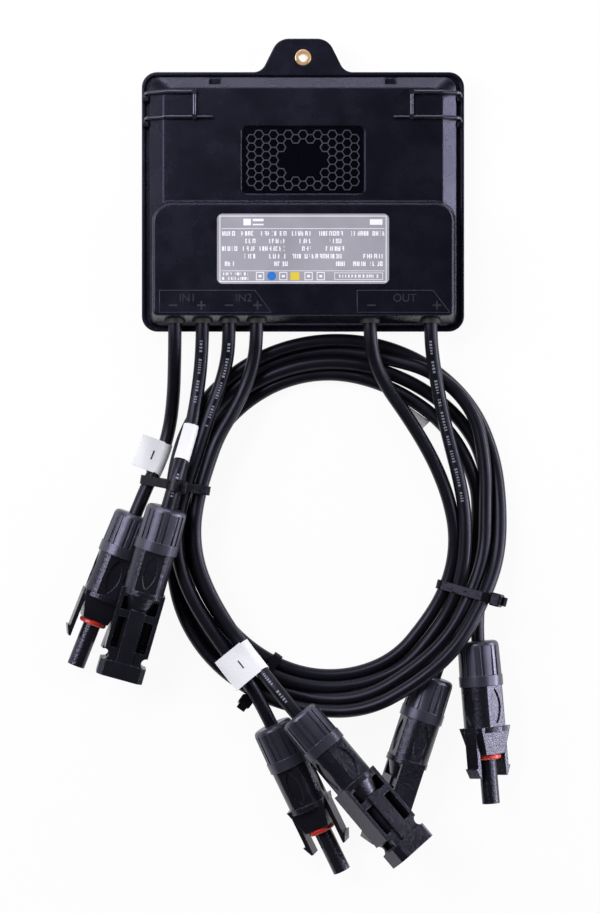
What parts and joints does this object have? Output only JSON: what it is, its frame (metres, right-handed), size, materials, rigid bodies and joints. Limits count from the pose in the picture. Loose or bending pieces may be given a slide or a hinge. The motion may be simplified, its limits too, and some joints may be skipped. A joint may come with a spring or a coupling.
{
  "type": "solar power optimizer",
  "caption": "Flat black junction housing with a hanging tab, a raised lead box and free leads that end in gland-nut photovoltaic connectors.",
  "frame": {"origin": "middle of the housing's outline with its tab, on the surface under its flat back; the free leads are not counted", "axes": "+X across the face to the side of the output leads, +Y up the face towards the hanging tab, +Z out of the face"},
  "size_m": [0.1784, 0.3345, 0.0397],
  "materials": {
    "housing_plastic": "fine spark-eroded black moulding",
    "brass_eyelet": "turned, lightly tarnished",
    "seal_rubber": "plain black",
    "silver_film": "matt silver film with plain printed bars",
    "clip_wire": "black coated spring wire",
    "board_laminate": "green solder mask",
    "plain_aluminium": "mill finish",
    "ferrite_core": "grey-black ferrite",
    "device_plastic": "moulded packages",
    "tinned_metal": "tin plated copper",
    "lead_jacket": "smooth satin cable jacket",
    "nut_plastic": "grey-black satin nylon",
    "connector_plastic": "black grained nylon",
    "red_rubber": "red silicone",
    "flag_film": "white label film",
    "tie_nylon": "black nylon strap"
  },
  "bodies": {
    "housing": {"rear_tray": "housing_plastic", "front_cover": "housing_plastic", "tab_bushing": "brass_eyelet", "cover_gasket": "seal_rubber", "rating_label": "silver_film", "circuit_board": "board_laminate", "heat_spreader": "plain_aluminium", "inductors": "ferrite_core", "capacitors": "plain_aluminium", "transistors": "device_plastic", "lead_terminals": "tinned_metal", "lead_grommets": "seal_rubber", "lead_ring": "lead_jacket", "gland_nut_in1_minus": "nut_plastic", "gland_seal_in1_minus": "seal_rubber", "connector_body_in1_minus": "connector_plastic", "contact_in1_minus": "tinned_metal", "sealing_ring_in1_minus": "red_rubber", "gland_nut_in1_plus": "nut_plastic", "gland_seal_in1_plus": "seal_rubber", "connector_body_in1_plus": "connector_plastic", "contact_in1_plus": "tinned_metal", "gland_nut_in2_minus": "nut_plastic", "gland_seal_in2_minus": "seal_rubber", "connector_body_in2_minus": "connector_plastic", "contact_in2_minus": "tinned_metal", "sealing_ring_in2_minus": "red_rubber", "gland_nut_in2_plus": "nut_plastic", "gland_seal_in2_plus": "seal_rubber", "connector_body_in2_plus": "connector_plastic", "contact_in2_plus": "tinned_metal", "gland_nut_out_minus": "nut_plastic", "gland_seal_out_minus": "seal_rubber", "connector_body_out_minus": "connector_plastic", "contact_out_minus": "tinned_metal", "gland_nut_out_plus": "nut_plastic", "gland_seal_out_plus": "seal_rubber", "connector_body_out_plus": "connector_plastic", "contact_out_plus": "tinned_metal", "sealing_ring_out_plus": "red_rubber", "lead_in1_minus": "lead_jacket", "lead_in1_plus": "lead_jacket", "lead_in2_minus": "lead_jacket", "lead_in2_plus": "lead_jacket", "lead_out_minus_start": "lead_jacket", "lead_out_plus_start": "lead_jacket", "lead_out_minus_end": "lead_jacket", "lead_out_plus_end": "lead_jacket", "flag_in1_minus": "flag_film", "flag_in1_plus": "flag_film", "flag_in2_plus": "flag_film", "flag_out_minus": "flag_film", "cable_tie_left": "tie_nylon", "cable_tie_right": "tie_nylon", "cable_tie_bottom": "tie_nylon"},
    "left_clip": {"wire_clip_left": "clip_wire"},
    "right_clip": {"wire_clip_right": "clip_wire"}
  },
  "joints": [
    {"name": "left_clip_hinge", "type": "hinge", "parent": "housing", "child": "left_clip", "pos_m": [-0.063, 0.0314, 0.01161], "axis": [0, -1, 0], "range_deg": [0, 105]},
    {"name": "right_clip_hinge", "type": "hinge", "parent": "housing", "child": "right_clip", "pos_m": [0.063, 0.0314, 0.01161], "axis": [0, 1, 0], "range_deg": [0, 105]}
  ]
}
